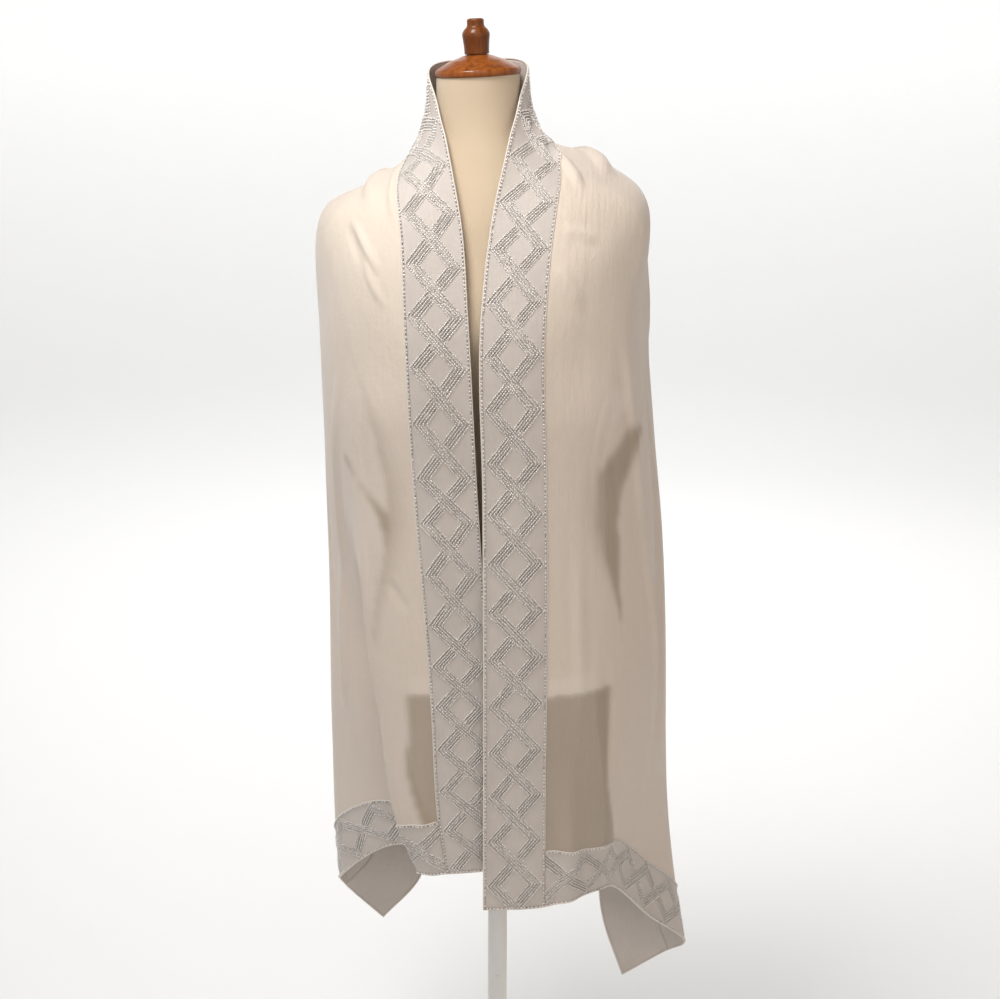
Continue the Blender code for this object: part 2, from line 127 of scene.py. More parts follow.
# Soft folds laid over the sections, in metres: middle along the neck edge, reach each
# way, middle across the cloth, reach each way, and how far the fold stands out
FOLDS = (
    # Side pipes
    (-0.62, 0.44, 0.3, 0.024, -0.007), (0.66, 0.44, 0.285, 0.024, -0.007),
    # Back flutes
    (-0.15, 0.06, 0.53, 0.34, 0.016), (-0.078, 0.05, 0.53, 0.3, -0.01),
    (-0.008, 0.055, 0.53, 0.28, 0.012), (0.064, 0.052, 0.53, 0.3, -0.011),
    (0.136, 0.062, 0.53, 0.35, 0.017),
    # Collar hollows and arm flutes
    (-0.118, 0.05, 0.0, 0.07, -0.005), (0.118, 0.05, 0.0, 0.07, -0.005),
    (-0.245, 0.095, 0.53, 0.28, 0.024), (0.25, 0.095, 0.53, 0.28, 0.026),
    # Left and right cascades
    (-0.39, 0.075, 0.53, 0.17, -0.012), (-0.52, 0.085, 0.53, 0.18, 0.016),
    (-0.68, 0.1, 0.53, 0.18, -0.013), (-0.85, 0.09, 0.53, 0.16, 0.011),
    (0.4, 0.08, 0.53, 0.17, -0.012), (0.55, 0.09, 0.53, 0.18, 0.016),
    (0.72, 0.1, 0.53, 0.18, -0.013), (0.9, 0.095, 0.53, 0.16, 0.012),
    # Hem waves
    (1.06, 0.16, 0.104, 0.02, 0.008), (-1.01, 0.14, 0.09, 0.018, 0.005),
    # Right and left bust
    (0.35, 0.055, 0.13, 0.085, 0.004), (0.452, 0.075, 0.13, 0.085, -0.0062),
    (-0.35, 0.055, 0.125, 0.075, 0.003), (-0.445, 0.07, 0.12, 0.075, -0.0046),
)

# Narrow creases in the chiffon, in metres: start and end (along, across), half the width,
# and how far the crease stands out
CREASES = (
    # Right shoulder, neck and chest
    ((0.165, 0.056), (0.262, 0.116), 0.01, 0.0056),
    ((0.128, 0.108), (0.25, 0.165), 0.02, 0.0085),
    ((0.292, 0.08), (0.326, 0.14), 0.011, 0.0024),
    ((0.336, 0.08), (0.4, 0.122), 0.011, 0.0024),
    # Right front, waist and hip
    ((0.4, 0.184), (0.66, 0.232), 0.016, 0.0058),
    ((0.6, 0.222), (0.86, 0.292), 0.016, 0.0054),
    ((0.54, 0.15), (0.6, 0.172), 0.01, -0.0022),
    ((0.64, 0.112), (0.9, 0.118), 0.014, 0.003),
    ((0.78, 0.15), (1.0, 0.176), 0.014, -0.003),
    # Left shoulder, chest and bust
    ((-0.11, 0.114), (-0.278, 0.124), 0.017, 0.008),
    ((-0.165, 0.079), (-0.3, 0.081), 0.009, 0.005),
    ((-0.284, 0.152), (-0.35, 0.098), 0.008, 0.0042),
    ((-0.292, 0.164), (-0.362, 0.11), 0.008, -0.002),
    ((-0.326, 0.133), (-0.386, 0.094), 0.007, 0.0032),
    # Left side, waist and hip
    ((-0.44, 0.172), (-0.7, 0.25), 0.014, 0.0064),
    ((-0.64, 0.24), (-0.88, 0.296), 0.014, 0.0058),
    ((-0.48, 0.137), (-0.6, 0.136), 0.009, -0.0024),
    ((-0.6, 0.15), (-0.9, 0.15), 0.014, 0.0044),
    ((-0.69, 0.118), (-0.74, 0.092), 0.009, -0.002),
    # Collar
    ((-0.085, 0.022), (-0.19, 0.02), 0.012, -0.002),
    ((0.08, 0.018), (0.165, 0.038), 0.009, -0.0022),
    ((0.11, 0.048), (0.215, 0.048), 0.01, 0.0024),
)

# Where the chain of diamonds has its corners along the neck edge: place, corner number
CHAIN_CORNERS = (
    (-0.859, -21), (-0.754, -19), (-0.627, -17), (-0.573, -16), (-0.444, -14),
    (-0.331, -12), (-0.208, -10), (0.205, -3), (0.317, -1), (0.437, 1), (0.561, 3),
    (0.682, 5), (0.801, 7), (0.920, 9), (1.037, 11),
)

# Turned pieces, in millimetres: the radius and the height of each corner of the profile,
# from the top down, with 0.3 mm left free between two pieces
PROFILES = {
    "form_neck_cap": (
        (0, 23.5), (11, 23.5), (16, 22.5), (30, 17.5), (43, 11), (48.5, 7.8), (49.6, 5.5),
        (49.6, 2), (48.6, 0.3), (0, 0.3)),
    "form_finial": (
        (0, 64), (7.5, 63.8), (9.8, 62.5), (9.8, 57), (10.4, 54.5), (13.6, 51.5),
        (15.8, 47.5), (16, 44.5), (15.3, 40), (14.6, 33), (14.3, 27), (14.3, 23.8), (0, 23.8)),
    "form_base": (
        (0, 59), (20, 59), (24, 55), (24, 24), (32, 16), (44, 14), (174, 11), (180, 6),
        (180, 2), (178, 0), (0, 0)),
    "form_pole": (
        (0, 787.7), (18.5, 787.7), (18.5, 768), (12.5, 762), (12.5, 59.3), (0, 59.3)),
}

# The share of a crease over which each end fades out
CREASE_TAPER = 0.35

# What shows through the chiffon, with painted shade: where the search starts and ends
# behind the cloth and how near the form counts as touching it, in metres, how strongly
# the form shows close by, how fast it darkens with its distance as painted shade and
# where that darkening stops, and the slope at which a place faces front
BACKING_START = 0.006
BACKING_REACH = 0.34
CLOSE_TO_FORM = 0.010
FORM_SHOWS = 1.08
FORM_PAINTED_SHADE_FADE = 9.0
FORM_DARKEST_PAINTED_SHADE = 0.20
FACES_FRONT = 0.45

# Chains: the length between two corners where none are given, and how far from the nape
# the collar reaches, in metres, how much steeper a strip is than the border's diagonal,
# and the share of a corner's step left empty at a chain's ends
CHAIN_PITCH = 0.0597
COLLAR_REACH = 0.215
STEEPER = 0.15
EMPTY_END = 0.01

# How hand sewing strays: a row's drift, slant and frayed end, and a mark's place across,
# in metres, and a mark's place along in corners; more by the next factor on the strip on
# top. Then the share of stitches missing on top, and of other marks
ROW_STRAY = (0.00024, 0.00045, 0.0012)
WIDTH_STRAY = 0.00018
CORNER_STRAY = 0.0024
OVER_STRAY = 2.2
MISSING_ON_TOP = 0.25
MISSING = 0.02

# Edge beads: how far they stray as a share of their spacing, how much of the wear is
# shared by neighbours, and the length over which it changes, in metres
EDGE_STRAY = 0.13
SHARED_WEAR = 0.6
WEAR_LENGTH = 0.03


def slider(name, description, default, unit="LENGTH"):
    """A number that a user may change, from a quarter of its default to four times or 1."""
    facts = {"subtype": unit, "max": 1.0} if unit == "FACTOR" else {
        "unit": unit, "max": default * 4.0, "precision": 4}
    return bpy.props.FloatProperty(name=name, description=description, default=default,
                                   min=default / 4.0, **facts)


def swatch(name, description, default):
    """A colour that a user may change."""
    return bpy.props.FloatVectorProperty(name=name, description=description, default=default,
                                         size=3, min=0.0, max=1.0, subtype="COLOR")


class ScarfClothSettings(bpy.types.PropertyGroup):
    """Sizes and colours of the scarf's cloth."""

    width: slider("Scarf width", "Width of the flat scarf, with its borders", 0.53)
    border: slider("Border width", "Width of the sewn border", 0.073)
    lift: slider("Lift", "Least distance of the cloth from the form", 0.0029)
    step: slider("Grid step", "Distance between the points of the cloth", 0.004)
    border_thickness: slider("Border thickness", "Thickness of the doubled border cloth", 0.0008)
    edge_radius: slider("Rolled edge radius", "Radius of the rolled hem round the scarf", 0.0011)
    chiffon: swatch("Chiffon", "Colour of two layers of the panel", (0.735, 0.632, 0.545))
    backed: swatch("Backed chiffon", "Colour of the panel on the form", (0.8, 0.69, 0.575))
    # Painted shade: the free chiffon colour, far darker than the cloth, stands in for the shaded
    # inside of the drape seen through it
    unbacked_painted_shade: swatch("Free chiffon", "Colour of one layer alone", (0.41, 0.325, 0.245))
    cover: slider("Chiffon cover", "How much the panel hides", 0.97, "FACTOR")
    border_cloth: swatch("Border cloth", "Colour of the borders", (0.635, 0.57, 0.522))
    border_cover: slider("Border cover", "How much the border hides", 0.92, "FACTOR")
    thread: swatch("Thread", "Colour of the rolled edges and the seams", (0.78, 0.71, 0.64))


class ScarfBeadSettings(bpy.types.PropertyGroup):
    """Sizes and colours of the beading."""

    length: slider("Bead length", "Length of a bugle bead", 0.0026)
    radius: slider("Bead radius", "Radius of a bugle bead", 0.00072)
    gap: slider("Bead gap", "Gap between two bugle beads", 0.0003)
    row_gap: slider("Row spacing", "Distance of two rows of a strip", 0.0031)
    rows: bpy.props.IntProperty(name="Rows", description="Rows of beads in one strip",
                                default=5, min=2, max=9)
    stitch: slider("Stitch length", "Length of a couched stitch", 0.0075)
    stitch_radius: slider("Stitch radius", "Radius of the thread", 0.00036)
    margin: slider("Chain margin", "Plain cloth left beside the chain", 0.0036)
    edge_radius: slider("Edge bead radius", "Radius of the round beads along the edges", 0.00105)
    edge_gap: slider("Edge bead spacing", "Distance of two pale beads of an edge line", 0.0046)
    glass: swatch("Bead glass", "Colour of the glass beads", (0.84, 0.79, 0.74))
    # The palest beads show a painted glint
    painted_glint: swatch("Bead glint", "Colour of the palest glass beads", (0.98, 0.96, 0.93))
    # The dark thread rows paint the shade between the rows of beads
    smoke_and_painted_shade: swatch("Smoky thread", "Colour of the dark thread", (0.17, 0.145, 0.125))


class ScarfFormSettings(bpy.types.PropertyGroup):
    """Colours of the form and its stand."""

    cover: swatch("Form cover", "Colour of the jersey cover", (0.65, 0.515, 0.365))
    wood: swatch("Wood", "Middle colour of the turned wood", (0.22, 0.06, 0.01))
    wood_dark: swatch("Dark wood", "Colour of the dark grain", (0.075, 0.016, 0.004))
    enamel: swatch("Enamel", "Colour of the stand's enamel", (0.78, 0.77, 0.74))


class ScarfStageSettings(bpy.types.PropertyGroup):
    """The studio round the form."""

    floor: swatch("Floor", "Colour of the floor and the curved backdrop", (0.9, 0.9, 0.895))
    key: slider("Key light", "Power of the main light", 30.0, "POWER")
    fill: slider("Fill light", "Power of the weaker lights", 14.0, "POWER")
    wall: slider("Backdrop light", "Power of its light", 190.0, "POWER")
    glow: slider("Backdrop glow", "How much the backdrop shines", 0.24, "NONE")
    sky: slider("Room light", "Strength of the room's even light", 0.07, "NONE")


class Channel:
    """A value socket that takes part in Python expressions by adding Math nodes."""

    def __init__(self, shading, socket):
        self.shading = shading
        self.socket = socket

    def math(self, operation, *others):
        """A Math node on this value and others."""
        return self.shading.math(operation, self, *others)

    def __add__(self, other):
        return self.math("ADD", other)

    def __sub__(self, other):
        return self.math("SUBTRACT", other)

    def __rsub__(self, other):
        return self.shading.math("SUBTRACT", other, self)

    def __mul__(self, other):
        return self.math("MULTIPLY", other)

    __radd__ = __add__
    __rmul__ = __mul__


class Shading:
    """One procedural material and the nodes that make it."""

    def __init__(self, name, **constants):
        self.material = bpy.data.materials.new(name)
        self.material.use_nodes = True
        self.tree = self.material.node_tree
        self.shader = self.tree.nodes["Principled BSDF"]
        self.finish(**constants)

    def node(self, kind, settings=None, sockets=None):
        """Any node: its settings first, then the values or links of its sockets."""
        made = self.tree.nodes.new(kind)
        for setting, value in (settings or {}).items():
            if setting == "stops":
                self.set_stops(made.color_ramp, value)
            else:
                setattr(made, setting, value)
        for socket, value in (sockets or {}).items():
            self.feed(made.inputs[socket], value)
        return made

    @staticmethod
    def set_stops(ramp, stops):
        """Gives a colour ramp its stops."""
        while len(ramp.elements) < len(stops):
            ramp.elements.new(1.0)
        for element, (place, colour) in zip(ramp.elements, stops):
            element.position = place
            element.color = (*colour, 1.0)

    def feed(self, socket, value):
        """Links a socket, or sets its plain value."""
        if isinstance(value, Channel):
            value = value.socket
        if isinstance(value, bpy.types.NodeSocket):
            self.tree.links.new(value, socket)
        else:
            socket.default_value = value

    def math(self, operation, *values):
        """One Math node as a channel."""
        made = self.node("ShaderNodeMath", {"operation": operation}, dict(enumerate(values)))
        return Channel(self, made.outputs[0])

    def mix(self, factor, *colours):
        """A colour between two colours."""
        first, second = (colour if isinstance(colour, bpy.types.NodeSocket)
                         else (*colour, 1.0) for colour in colours)
        sockets = {0: factor, 6: first, 7: second}
        return self.node("ShaderNodeMix", {"data_type": "RGBA"}, sockets).outputs[2]

    def ramp(self, factor, *stops):
        """A colour that follows a factor through stops."""
        return self.node("ShaderNodeValToRGB", {"stops": stops}, {0: factor}).outputs[0]

    def noise(self, space, scale, detail=3.0, roughness=0.55):
        """Soft noise from 0 to 1 over a space; a tuple scales each axis by itself."""
        vector = self.node("ShaderNodeTexCoord").outputs[space]
        if isinstance(scale, tuple):
            vector = self.node("ShaderNodeVectorMath", {"operation": "MULTIPLY"},
                               {0: vector, 1: scale}).outputs[0]
            scale = 1.0
        sockets = {"Vector": vector, "Scale": scale, "Detail": detail, "Roughness": roughness}
        return Channel(self, self.node("ShaderNodeTexNoise", None, sockets).outputs[0])

    def parts(self, space):
        """The x, y and z of a space as channels."""
        source = self.node("ShaderNodeTexCoord").outputs[space]
        made = self.node("ShaderNodeSeparateXYZ", None, {0: source})
        return [Channel(self, socket) for socket in made.outputs]

    def bump(self, *layers):
        """A normal that follows layers of a height, its distance and its strength."""
        normal = None
        for height, distance, strength in layers:
            sockets = {"Height": height, "Distance": distance, "Strength": strength}
            if normal is not None:
                sockets["Normal"] = normal
            normal = self.node("ShaderNodeBump", None, sockets).outputs[0]
        return normal

    def finish(self, **sockets):
        """Feeds the shader's own sockets and returns the material."""
        for socket, value in sockets.items():
            self.feed(self.shader.inputs[socket.replace("_", " ")], value)
        return self.material


def tint(colour, share):
    """A colour made lighter or darker."""
    return tuple(min(channel * share, 1.0) for channel in colour)


def wave(place, spacing):
    """An even wave from -1 to 1 along a channel in metres."""
    return (place * (2.0 * math.pi / spacing)).math("SINE")


def weave(shading, spacing):
    """Height of a plain weave from 0 to 1, over the cloth's own metres."""
    across, along, _ = shading.parts("UV")
    return wave(across, spacing) * wave(along, spacing) * 0.5 + 0.5


def chiffon_finish(settings):
    """Sheer crepe chiffon: paler over the form, darker with painted shade where the form lies
    farther behind or nothing lies behind, with open weave, slubs and crinkle.
    """
    shading = Shading("sheer chiffon", Sheen_Weight=0.25, Sheen_Roughness=0.45)
    threads = weave(shading, spacing=0.0009)
    slubs = shading.noise("UV", (900.0, 40.0, 0.0), 2.0)
    picks = shading.noise("UV", (40.0, 900.0, 0.0), 2.0)
    clouds = shading.noise("UV", 9.0, 4.0)
    crinkle = shading.noise("UV", (105.0, 75.0, 0.0), 4.0, 0.6)
    streaks = shading.noise("UV", (62.0, 7.0, 0.0))
    density = (slubs + picks) * 0.5
    backing = shading.node("ShaderNodeAttribute", {"attribute_name": BACKING_AND_PAINTED_SHADE}).outputs["Fac"]
    # The ramp paints shade: from the pale form showing through down to the dark free chiffon
    # where nothing lies behind
    layers = shading.ramp(backing, (0.0, settings.unbacked_painted_shade), (0.5, settings.chiffon),
                          (1.0, settings.backed))
    colour = shading.mix((clouds * 0.6 + density * 0.4) * 0.25, layers,
                         tint(settings.chiffon, 0.55))
    cover = threads * 0.10 + density * 0.16 + clouds * 0.06 + (settings.cover - 0.16)
    normal = shading.bump((streaks, 0.0045, 0.30), (crinkle, 0.0016, 0.45),
                          (threads, 0.0002, 0.5))
    return shading.finish(Base_Color=colour, Alpha=cover, Roughness=clouds * 0.12 + 0.66,
                          Normal=normal)


def border_finish(settings):
    """Doubled chiffon of the border, denser and cooler, with a faint quilting."""
    shading = Shading("border cloth", Sheen_Weight=0.2, Sheen_Roughness=0.4)
    threads = weave(shading, spacing=0.0008)
    clouds = shading.noise("UV", 22.0, 4.0)
    pucker = shading.noise("UV", 130.0)
    slubs = shading.noise("UV", (700.0, 50.0, 0.0), 2.0)
    colour = shading.mix(clouds * 0.7 + slubs * 0.3, tint(settings.border_cloth, 0.86),
                         tint(settings.border_cloth, 1.12))
    cover = threads * 0.06 + slubs * 0.06 + (settings.border_cover - 0.06)
    return shading.finish(Base_Color=colour, Alpha=cover, Roughness=clouds * 0.15 + 0.55,
                          Normal=shading.bump((pucker, 0.0012, 0.4), (threads, 0.0002, 0.5)))


def thread_finish(settings):
    """Silky sewing thread wrapped round the rolled edges, with painted shade in the grooves of
    its twist and painted highlight on its ridges.
    """
    shading = Shading("silk thread", Sheen_Weight=0.3)
    around, along, _ = shading.parts("UV")
    twist = (along * (2.0 * math.pi / 0.0016) + around * 6.0).math("SINE") * 0.5 + 0.5
    wear = shading.noise("UV", 60.0)
    # Painted shade and highlight: darker in the grooves of the twist, lighter on its ridges
    colour = shading.mix(twist * 0.6 + wear * 0.4, tint(settings.thread, 0.72),
                         tint(settings.thread, 1.2))
    return shading.finish(Base_Color=colour, Roughness=twist * 0.2 + 0.38,
                          Normal=shading.bump((twist, 0.0003, 0.8)))


def bead_finish(settings):
    """Silvery glass beads, each a little different, some with a painted glint."""
    shading = Shading("silver glass beads", Metallic=0.12, Coat_Weight=0.5,
                      Coat_Roughness=0.08)
    mixed = shading.noise("Object", 420.0, 1.0)
    clouds = shading.noise("Object", 30.0, 2.0)
    # Painted glint: a share of the beads is turned almost white
    painted_glint_share = shading.ramp(mixed, (0.47, BLACK), (0.58, WHITE))
    colour = shading.mix(painted_glint_share, tint(settings.glass, 0.88), settings.painted_glint)
    colour = shading.mix(clouds * 0.4, colour, tint(settings.glass, 0.86))
    return shading.finish(Base_Color=colour, Roughness=mixed * 0.25 + 0.2)


def stitch_finish(settings, name, share):
    """Smoky couching thread whose darkness comes and goes along the rows; its dark rows beside
    the beads paint the shade between the rows of beads.
    """
    shading = Shading(name, Sheen_Weight=0.1)
    wear = shading.noise("Object", 95.0, 2.0)
    twist = shading.noise("Object", 1400.0, 1.0)
    faded = (wear * 2.4 - 0.7).math("MAXIMUM", 0.0).math("MINIMUM", 1.0) * (1.0 - share)
    colour = shading.mix(faded + (0.85 - share) * 0.5, settings.smoke_and_painted_shade,
                         tint(settings.glass, 0.60))
    colour = shading.mix(twist * 0.4, colour, tint(settings.smoke_and_painted_shade, 1.6))
    return shading.finish(Base_Color=colour, Roughness=twist * 0.2 + 0.5)


def cover_finish(settings):
    """Cream jersey pulled over the form: fine ribs with painted shade in their hollows, and soft
    mottling.
    """
    shading = Shading("cream jersey", Sheen_Weight=0.15, Sheen_Roughness=0.5)
    clouds = shading.noise("Object", 7.0, 4.0)
    grain = shading.noise("Object", 900.0, 2.0)
    around, along, _ = shading.parts("UV")
    knit_and_painted_shade = wave(around, 0.0014) * 0.3 + wave(along, 0.0011) * 0.2 + 0.5
    colour = shading.mix(clouds, tint(settings.cover, 0.93), tint(settings.cover, 1.06))
    # Painted shade: the hollows of the ribs are darker
    colour = shading.mix((1.0 - knit_and_painted_shade) * 0.18 + grain * 0.06, colour,
                         tint(settings.cover, 0.7))
    return shading.finish(Base_Color=colour, Roughness=grain * 0.1 + 0.78,
                          Normal=shading.bump((clouds, 0.002, 0.25), (knit_and_painted_shade, 0.0003, 0.5)))


def wood_finish(settings, name, tone):
    """Varnished red-brown wood: long grain, pores, turning marks and worn edges."""
    shading = Shading(name, Coat_Roughness=0.10, Coat_IOR=1.4, Specular_IOR_Level=0.2)
    # A tone below 1 gives a darker copy of the wood, used as painted shade
    wood, dark = tint(settings.wood, tone), tint(settings.wood_dark, tone)
    grain = shading.noise("Object", (190.0, 190.0, 22.0), 5.0, 0.6)
    pores = shading.noise("Object", (1500.0, 1500.0, 90.0), 2.0)
    patches = shading.noise("Object", 38.0)
    turning = wave(shading.parts("Object")[2], 0.0013) * 0.5 + 0.5
    colour = shading.ramp(grain, (0.30, dark), (0.47, wood), (0.60, tint(wood, 1.5)),
                          (0.74, tint(wood, 0.8)))
    colour = shading.mix(pores.math("GREATER_THAN", 0.62) * 0.5, colour, dark)
    colour = shading.mix(patches * 0.6, colour, wood)
    edges = shading.node("ShaderNodeNewGeometry").outputs["Pointiness"]
    worn = Channel(shading, shading.ramp(edges, (0.50, BLACK), (0.60, WHITE)))
    colour = shading.mix(worn * 0.35, colour, tint(wood, 2.0))
    return shading.finish(
        Base_Color=colour, Roughness=patches * 0.16 + pores * 0.08 + 0.24,
        Coat_Weight=patches * 0.15 + 0.2,
        Normal=shading.bump((grain, 0.0004, 0.15), (turning, 0.00015, 0.18)))


def enamel_finish(settings):
    """Satin enamel over steel, with orange peel and faint scuffs."""
    shading = Shading("satin enamel")
    peel = shading.noise("Object", 420.0, 2.0)
    clouds = shading.noise("Object", 12.0, 4.0)
    scuffs = shading.noise("Object", (26.0, 260.0, 140.0), 3.0, 0.7)
    scuffed = scuffs.math("GREATER_THAN", 0.66) * 0.16
    colour = shading.mix(clouds, tint(settings.enamel, 0.95), tint(settings.enamel, 1.04))
    colour = shading.mix(scuffed, colour, tint(settings.enamel, 0.55))
    return shading.finish(Base_Color=colour, Roughness=clouds * 0.12 + scuffed + 0.26,
                          Normal=shading.bump((peel, 0.0003, 0.25)))


def floor_finish(settings):
    """Pale matt paper of the floor and the backdrop, which shines more towards the top."""
    shading = Shading("pale paper", Roughness=0.9, Emission_Strength=settings.glow)
    clouds = shading.noise("Object", 0.7)
    fibres = shading.noise("Object", 220.0, 2.0)
    colour = shading.mix(clouds * 0.5 + fibres * 0.2, settings.floor,
                         tint(settings.floor, 0.985))
    height = shading.parts("Object")[2]
    rise = (height * 0.8).math("MINIMUM", 1.0).math("MAXIMUM", 0.0) * 0.8 + 0.2
    return shading.finish(Base_Color=colour,
                          Emission_Color=shading.mix(rise, BLACK, settings.floor),
                          Normal=shading.bump((fibres, 0.0002, 0.1)))


def to_world(across, depth, drop):
    """A point measured from the neck top, in the part's frame."""
    form_bottom_shift = FORM_LEAN * FORM_RINGS[-1][0] * MM
    return Vector((across - form_bottom_shift, depth, NECK_TOP_HEIGHT - drop))


def ease(share):
    """A soft step from 0 to 1."""
    return share * share * (3.0 - 2.0 * share)


def form_point(drop, half_width, front, back, squareness, turn):
    """A point of the torso ring at one drop; turn is the angle round it."""
    sides = math.cos(turn), math.sin(turn)
    over, deep = (math.copysign(abs(side) ** (2.0 / squareness), side) for side in sides)
    across, depth = over * half_width, deep * (back if sides[1] > 0.0 else front)
    slant = SHOULDER_SLANT * (1.0 - ease(min(max(drop / SLANT_ENDS_AT_DROP, 0.0), 1.0)))
    return to_world(across + FORM_LEAN * drop, depth, drop - across * slant)


def spline_at(knots, values, places):
    """Smooth curve through values at knots, read at places (a knot-spaced Hermite)."""
    slopes = np.gradient(values, knots, axis=0, edge_order=1)
    spans = np.clip(np.searchsorted(knots, places, side="right") - 1, 0, len(knots) - 2)
    width = (knots[spans + 1] - knots[spans])[:, None]
    share = ((places - knots[spans])[:, None]) / width
    return (
        (1.0 + 2.0 * share) * (1.0 - share) ** 2 * values[spans]
        + share * (1.0 - share) ** 2 * width * slopes[spans]
        + ease(share) * values[spans + 1]
        + share ** 2 * (share - 1.0) * width * slopes[spans + 1]
    )


def run_lengths(points, power=1.0):
    """Length along a line of points, or knots spaced by a power of their distance."""
    gaps = np.linalg.norm(np.diff(points, axis=0), axis=1) ** power
    return np.concatenate(([0.0], np.cumsum(gaps)))


def read_line(places, lengths, values):
    """Values of a line between its points, at places along its length."""
    return np.stack([np.interp(places, lengths, column) for column in values.T], axis=1)


def unit(vectors):
    """Vectors scaled to a length of 1."""
    size = np.linalg.norm(vectors, axis=-1, keepdims=True)
    return vectors / np.maximum(size, 1e-12)


def grid_normals(points):
    """Outward unit normals of a grid of points, by differences."""
    return unit(np.cross(np.gradient(points, axis=0), np.gradient(points, axis=1)))


def grid_faces(rows, columns, wrap=False):
    """Quads of a grid, closed round its columns if it wraps."""
    row, column = np.meshgrid(np.arange(rows - 1), np.arange(columns - (not wrap)),
                              indexing="ij")
    here = (row * columns + column).ravel()
    beside = (row * columns + (column + 1) % columns).ravel()
    return np.stack((here, here + columns, beside + columns, beside), axis=1)


def stations(breaks, step):
    """Places from the first break to the last, on every break and about a step apart."""
    places = [np.array(breaks[:1])]
    for start, end in zip(breaks, breaks[1:]):
        count = max(2, math.ceil((end - start) / step))
        places.append(np.linspace(start, end, count + 1)[1:])
    return np.concatenate(places)


def soft_bump(places, middle, reach):
    """One round bump of height 1 over places, nothing past its reach."""
    share = np.clip(np.abs(places - middle) / reach, 0.0, 1.0)
    return 0.5 + 0.5 * np.cos(math.pi * share)


def crease_shift(along, across, start, end, half_width, height):
    """How far one narrow crease moves each point of the grid."""
    run = np.subtract(end, start)
    places = np.stack(np.meshgrid(along, across, indexing="ij"), axis=-1) - start
    share = (places @ run) / (run @ run)
    distance = np.linalg.norm(places - share[..., None] * run, axis=-1)
    taper = np.clip(np.minimum(share, 1.0 - share) / CREASE_TAPER, 0.0, 1.0)
    return height * soft_bump(distance, 0.0, half_width) * ease(taper)


